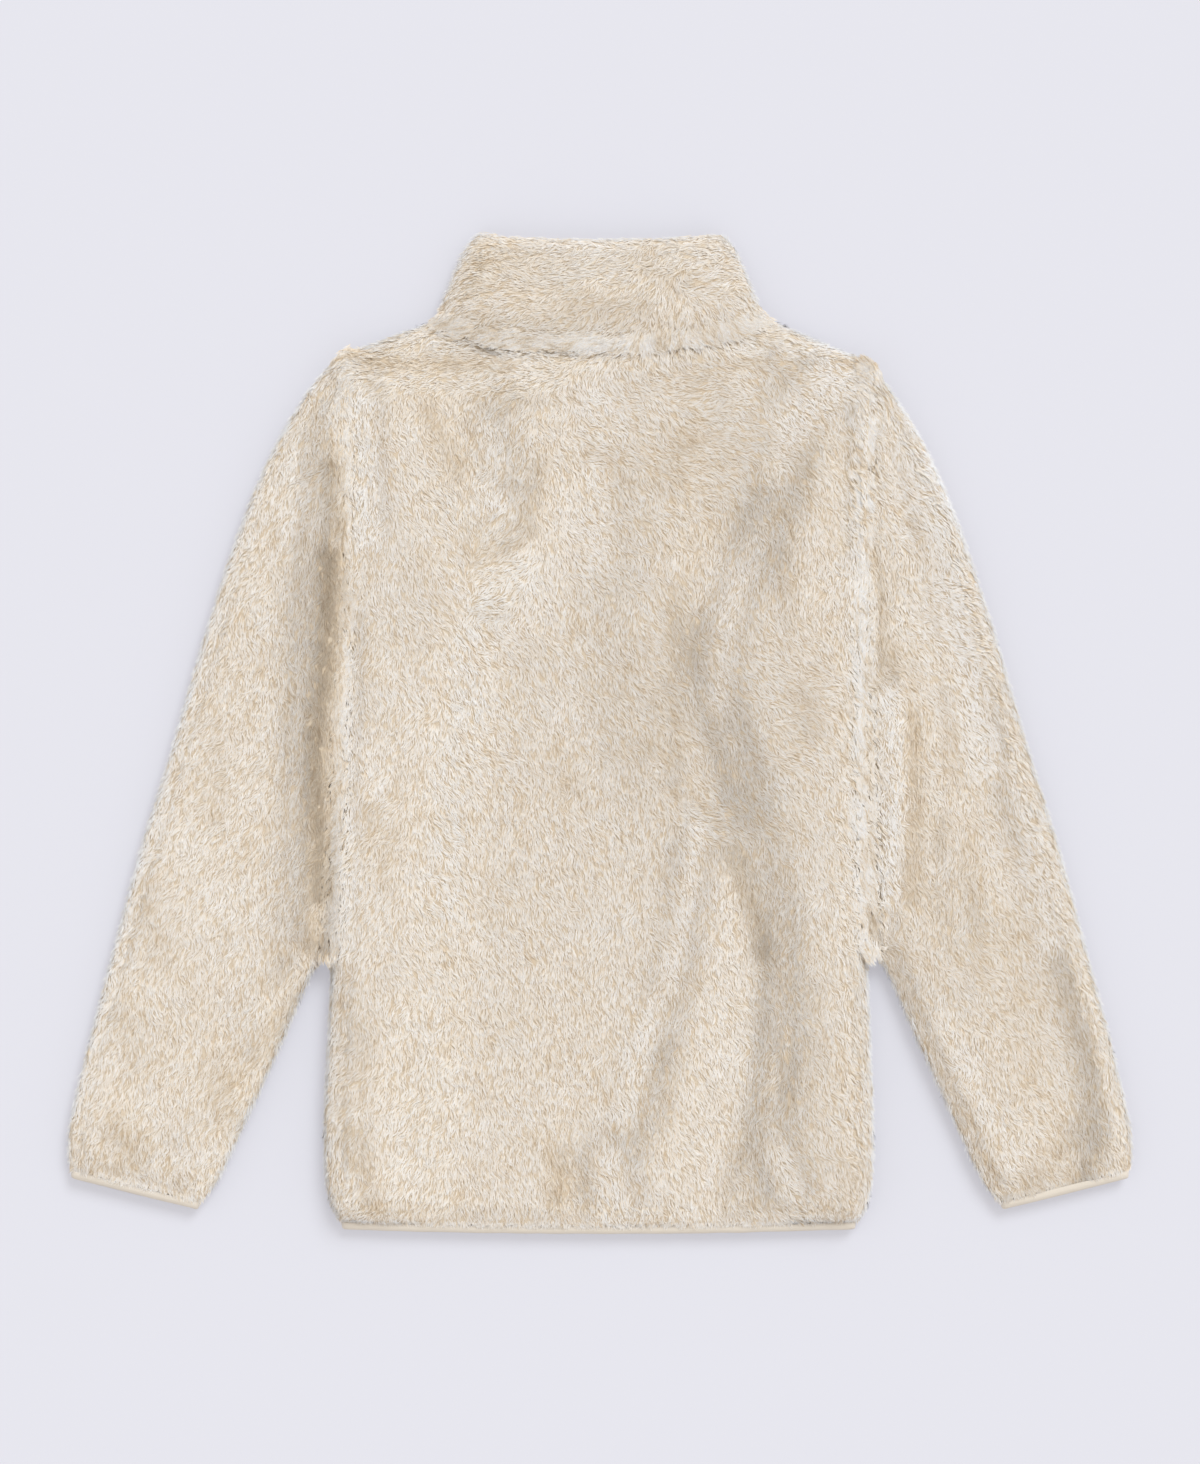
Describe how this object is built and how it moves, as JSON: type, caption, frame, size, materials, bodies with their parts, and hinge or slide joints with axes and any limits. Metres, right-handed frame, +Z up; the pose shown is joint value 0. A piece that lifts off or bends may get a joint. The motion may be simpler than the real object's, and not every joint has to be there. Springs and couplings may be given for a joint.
{
  "type": "fleece pullover",
  "caption": "Child's sherpa fleece pullover with a tall funnel collar, set-in long sleeves and knit-bound hem and cuffs, laid flat with its back up.",
  "frame": {"origin": "centre of the garment's outline on the surface it lies on", "axes": "+X towards the wearer's right sleeve, which is the picture's right, +Y from hem to collar, +Z up out of the back of the garment"},
  "size_m": [0.666, 0.625, 0.0255],
  "materials": {
    "fleece": "matte",
    "binding": "matte"
  },
  "bodies": {
    "root": {"back": "fleece", "front": "fleece", "sleeve_left": "fleece", "sleeve_right": "fleece", "collar": "fleece", "hem_binding": "binding", "cuff_binding_left": "binding", "cuff_binding_right": "binding"}
  },
  "joints": []
}
